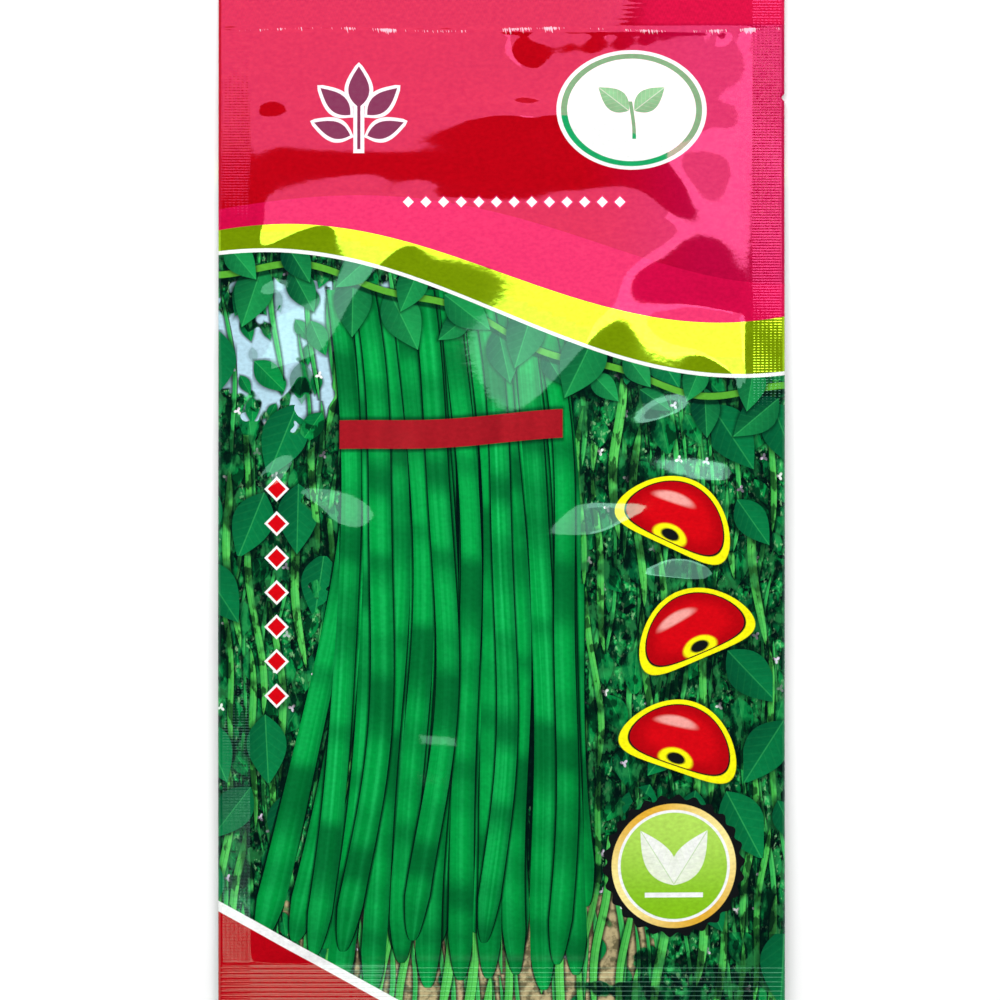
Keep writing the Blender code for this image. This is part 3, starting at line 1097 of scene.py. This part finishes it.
def header_picture_recipe(position):
    """The header: its foil band, a magenta sweep, red above it, and three plain ornaments."""
    x, y = millimetres(position)
    over_edge = y - header_edge(x)
    band = 9.0 + x * 0.06
    sweep = band + 10.0 + 5.0 * sine(x / 26.0 + 1.0)
    ink = above(over_edge - band, 0.0, 0.08)
    colour = paint(FOIL_YELLOW, MAGENTA, ink)
    red = paint(RED, CRIMSON, above(x, 34.0, 16.0))
    red = paint(red, BRIGHT_CRIMSON, above(x, 33.0, 4.0) * above(y, CAVITY_TOP + 0.5, 0.6))
    colour = paint(colour, red, above(over_edge - sweep, 0.0, 0.08))
    colour = sprout_disc(colour, x, y, *SPROUT)
    colour = leaf_spray(colour, x, y, *SPRAY)
    colour = lozenges(colour, x, y, *HEADER_ROW, WHITE, MAGENTA)
    return seal_edge_dashes(colour, x, y, CAVITY_TOP - 0.7), 1 - ink


def foot_corner(colour, x, y):
    """The red corner at the foot, with its white edge."""
    corner = (y + 122.5) + (x + 67.5) * 0.55
    colour = paint(colour, WHITE, below(corner, 27.0, 0.1))
    return paint(colour, RED, below(corner, 24.5, 0.1))


def upper_picture_recipe(position):
    """The field under the header: the vine with its leaves, and the long pods with their tie."""
    x, y = millimetres(position)
    colour = leafy_field(position, x, y)
    colour = pod_curtain(colour, x, y)
    colour = pod_tie(colour, x, y)
    colour = vine(colour, x, y)
    return header_band(colour, x, y)


def lower_picture_recipe(position):
    """The field's left and foot: a row of lozenges, soil, the long pods' tips, the red corner."""
    x, y = millimetres(position)
    colour = leafy_field(position, x, y)
    colour = pod_curtain(colour, x, y)
    colour = lozenges(colour, x, y, *SIDE_ROW, SEED_RED, WHITE)
    return foot_corner(colour, x, y)


def pods_picture_recipe(position):
    """The middle of the long pods, where they cover all that is behind them."""
    x, y = millimetres(position)
    colour = paint(LEAF_SHADE, LEAF_DEEP, above(sine(y * 2.0), 0.6, 0.3) * 0.2)
    return pod_curtain(colour, x, y)


def right_picture_recipe(position):
    """The field beside the pods, with the large seeds and the rosette."""
    x, y = millimetres(position)
    colour = leafy_field(position, x, y)
    colour = kidney_column(colour, x, y)
    return rosette(colour, x, y, *ROSETTE)


def back_picture_recipe(position):
    """The back: a ruled white panel and a row of leaves, round them the field, over them bands."""
    x, y = millimetres(position)
    colour = leafy_field(position, x, y)
    panel = most(size_of(x) - 51.0, size_of(y + 16.0) - 82.0)
    colour = paint(colour, INK_GREEN, below(panel, 2.4, 0.1))
    colour = paint(colour, WHITE, below(panel, 0.0, 0.1))
    ruled = within(repeat(y + 16.0, 7.0), 0.22, 0.06)
    ruled = ruled * within(x, 42.0, 0.1) * within(y + 26.0, 60.0, 0.1)
    colour = paint(colour, RULE_GREY, ruled)
    along, across = turned(repeat(x + 11.0, 22.0), y, 0.0, 52.0, math.radians(60))
    depth, vein, light = leaf_at(along, across, 13.0, 7.5)
    leaf = paint(paint(INK_GREEN, SPROUT_LIGHT, light), WHITE, vein * 0.5)
    colour = paint(colour, leaf, above(depth, 0.1, 0.1) * within(x, 44.0, 0.1))
    colour = paint(colour, YELLOW, above(y, 76.0, 0.1))
    colour = paint(colour, MAGENTA, above(y, 81.0, 0.1))
    colour = paint(colour, RED, above(y, 88.0, 0.1))
    return lozenges(colour, x, y, *BACK_ROW, WHITE, MAGENTA)


def film_relief_recipe(position):
    """Height, in metres, of the weave in the side seals and of the film's fine unevenness."""
    x, y = millimetres(position)
    in_seal = above(size_of(x), CAVITY_HALF_WIDTH + 0.4, 0.3)
    patchy = 0.65 + 0.35 * sine(y / 13.0 + 0.9 * sine(y / 5.0 + x * 0.2))
    across = 0.8 + 0.2 * sine(x * (2 * math.pi / WEAVE_PITCH_ACROSS))
    weave = sine(y * (2 * math.pi / WEAVE_PITCH)) * across
    peel = noise(position, 0.6, 2.0)
    return (in_seal * patchy * weave * WEAVE_HEIGHT + peel * PEEL_HEIGHT) * MM


def film_grain_and_cloth_shade_recipe(position):
    """How much lighter or darker the film looks at a place: a fine grain everywhere, and across the
    top seal painted light and shade that draws the cloth of the sealing jaws, standing in for its
    relief."""
    x, y = millimetres(position)
    thread = y * (2 * math.pi / CLOTH_PITCH) + 1.6 * sine(x * 3.31)
    cloth = sine(x * (2 * math.pi / CLOTH_PITCH_ACROSS)) * sine(thread)
    in_seal = above(y, CAVITY_TOP + 0.4, 0.3)
    # across the top seal the cloth pattern is added as painted light and shade
    return noise(position, 1.3, 3.0, (0.7, 1.0, 1.0)) - 0.5 + in_seal * cloth * 0.12


def make_surface(name, recipe, *outputs):
    """An effect that depends on the position alone."""
    return make_effect(name, [("Position", "vector", (0, 0, 0))], outputs, recipe)


COLOUR, FOIL = ("Colour", "colour"), ("Foil", "value")
HEADER_PICTURE = make_surface("header picture", header_picture_recipe, COLOUR, FOIL)
UPPER_PICTURE = make_surface("upper picture", upper_picture_recipe, COLOUR, FOIL)
LOWER_PICTURE = make_surface("lower picture", lower_picture_recipe, COLOUR)
PODS_PICTURE = make_surface("pods picture", pods_picture_recipe, COLOUR)
RIGHT_PICTURE = make_surface("right picture", right_picture_recipe, COLOUR)
BACK_PICTURE = make_surface("back picture", back_picture_recipe, COLOUR)
FILM_RELIEF = make_surface("film relief", film_relief_recipe, ("Height", "value"))
FILM_GRAIN_AND_CLOTH_SHADE = make_surface("film grain and cloth shade", film_grain_and_cloth_shade_recipe, ("Grain And Cloth Shade", "value"))


# Materials


def start_material(name):
    material = bpy.data.materials.new(name)
    material.use_nodes = True
    tree = material.node_tree
    place = Term(tree, new_node(tree, "ShaderNodeTexCoord").outputs["Object"])
    return material, tree, tree.nodes["Principled BSDF"], place


def set_values(node, values):
    for label, value in values.items():
        node.inputs[label].default_value = value


def add_relief(tree, shader, height):
    bump = new_node(tree, "ShaderNodeBump")
    set_values(bump, {"Strength": 1.0, "Distance": 1.0})
    feed(tree, bump.inputs["Height"], height)
    tree.links.new(bump.outputs["Normal"], shader.inputs["Normal"])


def brightened(colour, factor):
    """The colour times a factor."""
    node = new_node(colour.tree, "ShaderNodeMix", data_type="RGBA", blend_type="MULTIPLY")
    node.inputs[0].default_value = 1.0
    feed(colour.tree, node.inputs[6], colour)
    feed(colour.tree, node.inputs[7], factor)
    return Term(colour.tree, node.outputs[2])


def finish_print(tree, shader, place):
    set_values(shader, {"Roughness": FILM_ROUGHNESS, "IOR": FILM_IOR})
    add_relief(tree, shader, use(tree, FILM_RELIEF, Position=place))


def front_print(name, picture, gloss_tint):
    """Ink under clear film. The ink tints what the film mirrors, and the foil is half metal."""
    material, tree, shader, place = start_material(name)
    results = use(tree, picture, Position=place)
    if isinstance(results, list):
        results, foil = results
        feed(tree, shader.inputs["Metallic"], foil * 0.6)
    # the base colour is multiplied by the film's grain and, across the top seal, by painted light
    # and shade of the jaws' cloth; the coat weight follows both
    grain_and_shade_here = use(tree, FILM_GRAIN_AND_CLOTH_SHADE, Position=place)
    feed(tree, shader.inputs["Base Color"], brightened(results, grain_and_shade_here * 0.5 + 1.0))
    feed(tree, shader.inputs["Coat Weight"], most(grain_and_shade_here * 0.3 + FILM_HAZE, 0.0))
    set_values(shader, {"Specular IOR Level": 0.65, "Specular Tint": (*gloss_tint, 1.0)})
    finish_print(tree, shader, place)
    return material


def back_print():
    material, tree, shader, place = start_material("printed back film")
    feed(tree, shader.inputs["Base Color"], use(tree, BACK_PICTURE, Position=place))
    finish_print(tree, shader, place)
    return material


def cloudy_material(name, dark, pale, scale, roughness):
    """A plain surface with soft changes of tone."""
    material, tree, shader, place = start_material(name)
    feed(tree, shader.inputs["Base Color"], paint(dark, pale, noise(place, scale, 3.0)))
    shader.inputs["Roughness"].default_value = roughness
    return material


def seed_coat():
    material, tree, shader, place = start_material("bean seed coat")
    cloud = noise(place, 0.16, 4.0)
    speck = noise(place, 0.9, 3.0)
    scar = new_node(tree, "ShaderNodeAttribute", attribute_name="scar")
    mark = above(Term(tree, scar.outputs["Fac"]), 0.45, 0.12)
    colour = paint((0.16, 0.040, 0.016), (0.36, 0.12, 0.045), cloud)
    colour = paint(colour, (0.07, 0.02, 0.01), above(speck, 0.62, 0.05) * 0.6)
    feed(tree, shader.inputs["Base Color"], paint(colour, (0.62, 0.56, 0.44), mark))
    shader.inputs["Roughness"].default_value = 0.38
    add_relief(tree, shader, speck * 0.00002)
    return material


# Camera and light

CAMERA_HEIGHT = 1200.0
FRAME_SPAN = 238.9
FRAME_MIDDLE_X = -0.36
SENSOR = 36.0
FLOOR_HALF = 3000.0
FLOOR_GAP = 0.2


def make_camera():
    data = bpy.data.cameras.new("camera")
    data.sensor_width = SENSOR
    data.lens = SENSOR * CAMERA_HEIGHT / FRAME_SPAN
    data.clip_end = 20.0
    camera = add_object("camera", data)
    camera.location = Vector((FRAME_MIDDLE_X, 0.0, CAMERA_HEIGHT)) * MM
    bpy.context.scene.camera = camera


def make_softbox(name, middle, width, depth, radiance, in_gloss, aim=(0.0, 0.0, 0.0)):
    """A rectangular light of even brightness, `middle` in millimetres."""
    data = bpy.data.lights.new(name, "AREA")
    data.shape = "RECTANGLE"
    data.size = width * MM
    data.size_y = depth * MM
    data.energy = radiance * math.pi * data.size * data.size_y
    light = add_object(name, data)
    light.location = Vector(middle) * MM
    aimed = Vector(middle) - Vector(aim)
    light.rotation_euler = aimed.to_track_quat("Z", "Y").to_euler()
    light.visible_glossy = in_gloss
    light.visible_camera = False


def make_level_softbox(name, left, right, near, far, height, radiance):
    """A softbox that hangs level over the table, given by its edges."""
    x, y = (left + right) / 2, (near + far) / 2
    make_softbox(name, (x, y, height), right - left, far - near, radiance, True, (x, y, 0.0))


def make_light():
    make_level_softbox("overhead softbox", -800.0, 800.0, 165.0, 1100.0, 1000.0, 3.4)
    make_level_softbox("right softbox", 98.0, 560.0, 166.0, 205.0, 990.0, 3.6)
    make_level_softbox("foot strip", -128.0, -56.0, -192.0, -162.0, 990.0, 2.6)
    make_softbox("side fill", (-750.0, 900.0, 950.0), 900.0, 900.0, 1.9, False)
    make_softbox("front fill", (500.0, -600.0, 1300.0), 1300.0, 1300.0, 0.55, False)


def make_studio():
    """Pale walls down to the floor, and a dark ceiling, so that the film mirrors little else."""
    world = bpy.data.worlds.new("studio")
    bpy.context.scene.world = world
    world.use_nodes = True
    tree = world.node_tree
    place = Term(tree, new_node(tree, "ShaderNodeTexCoord").outputs["Generated"])
    _, _, up = split(place)
    walls = below(up, 0.66, 0.16)
    shade = paint((0.012, 0.012, 0.012), (1.0, 1.0, 1.0), walls)
    feed(tree, tree.nodes["Background"].inputs["Color"], shade)
    tree.nodes["Background"].inputs["Strength"].default_value = 0.9


def make_floor(material):
    mesh = bpy.data.meshes.new("floor")
    half = FLOOR_HALF * MM
    corners = [(-half, -half, 0), (half, -half, 0), (half, half, 0), (-half, half, 0)]
    mesh.from_pydata(corners, [], [(0, 1, 2, 3)])
    mesh.materials.append(material)
    floor = add_object("floor", mesh)
    floor.location.z = -FLOOR_GAP * MM


# Seeds


def seed_nodes():
    return sorted(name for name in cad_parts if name.startswith("seed_"))


def seed_spots():
    """Middle, turn and size of each loose seed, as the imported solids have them."""
    spots = []
    for name in seed_nodes():
        points = np.array([vertex.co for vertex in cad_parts[name].data.vertices]) / MM
        flat = points[:, :2] - points[:, :2].mean(axis=0)
        along = np.linalg.eigh(flat.T @ flat)[1][:, 1]
        across = np.array([-along[1], along[0]])
        if ((flat @ across) * (flat @ along) ** 2).sum() < 0:
            along, across = -along, -across
        ahead, aside = points[:, :2] @ along, points[:, :2] @ across
        middle_ahead = (ahead.min() + ahead.max()) / 2
        middle_aside = (aside.min() + aside.max()) / 2 + SEED_BEND * SEED_BEND_LEVEL
        x, y = along * middle_ahead + across * middle_aside
        z = (points[:, 2].min() + points[:, 2].max()) / 2
        size = (points[:, 2].max() - points[:, 2].min()) / SEED_THICKNESS
        spots.append((x, y, z, math.atan2(along[1], along[0]), size))
    return np.array(spots)


def make_seeds(coat):
    """All the loose seeds as one piece."""
    spots = seed_spots()
    mesh = bpy.data.meshes.new("loose_seeds")
    mesh.from_pydata((spots[:, :3] * MM).tolist(), [], [])
    for column, label in ((3, "turn"), (4, "size")):
        values = spots[:, column].astype(np.float32)
        mesh.attributes.new(label, "FLOAT", "POINT").data.foreach_set("value", values)
    seeds = add_object("loose_seeds", mesh)
    run_shape(seeds, "seed heap", seed_heap(), {**SEED_LENGTHS, **SEED_COUNTS, "Material": coat})
    seeds.data.materials.clear()
    seeds.data.materials.append(coat)
    seeds.data.polygons.foreach_set("material_index", [0] * len(seeds.data.polygons))
    seeds.data.shade_smooth()
    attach(seeds, "root")
    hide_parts(*seed_nodes())


def make_films():
    """The two printed films, with thickness and pressed seals."""
    inner = cloudy_material("inner film", (0.70, 0.70, 0.69), (0.80, 0.80, 0.79), 0.06, 0.3)
    edge = cloudy_material("cut film edge", (0.62, 0.60, 0.60), (0.86, 0.85, 0.84), 0.9, 0.45)
    ribs = seal_ribs()
    across, *along = FRONT_STEPS
    front = film_sheet(
        "front_film_skin", film_columns(across), film_rows(*along), front_outside, True
    )
    field_ink = front_print("printed lower field", LOWER_PICTURE, GREEN_GLOSS)
    press_ribs(front, ribs, field_ink)
    finish_film(front, field_ink, inner, edge)
    for name, picture, gloss, covers in (
        ("printed header", HEADER_PICTURE, RED_GLOSS, on_header),
        ("printed pods", PODS_PICTURE, GREEN_GLOSS, on_pods),
        ("printed right field", RIGHT_PICTURE, GREEN_GLOSS, on_right_field),
        ("printed upper field", UPPER_PICTURE, GREEN_GLOSS, on_upper_field),
    ):
        lay_print(front, front_print(name, picture, gloss), covers)
    across, *along = BACK_STEPS
    back = film_sheet(
        "back_film_skin", film_columns(across), film_rows(*along), back_outside, False
    )
    back_ink = back_print()
    press_ribs(back, ribs, back_ink)
    finish_film(back, back_ink, inner, edge)
    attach(front, "root")
    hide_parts("front_film")
    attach(back, "root")
    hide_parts("back_film")


bpy.context.scene.view_settings.view_transform = "Standard"
make_camera()
make_light()
make_studio()
make_floor(cloudy_material("pale floor", (0.90, 0.90, 0.90), (0.93, 0.93, 0.93), 0.04, 0.7))
make_films()
make_seeds(seed_coat())
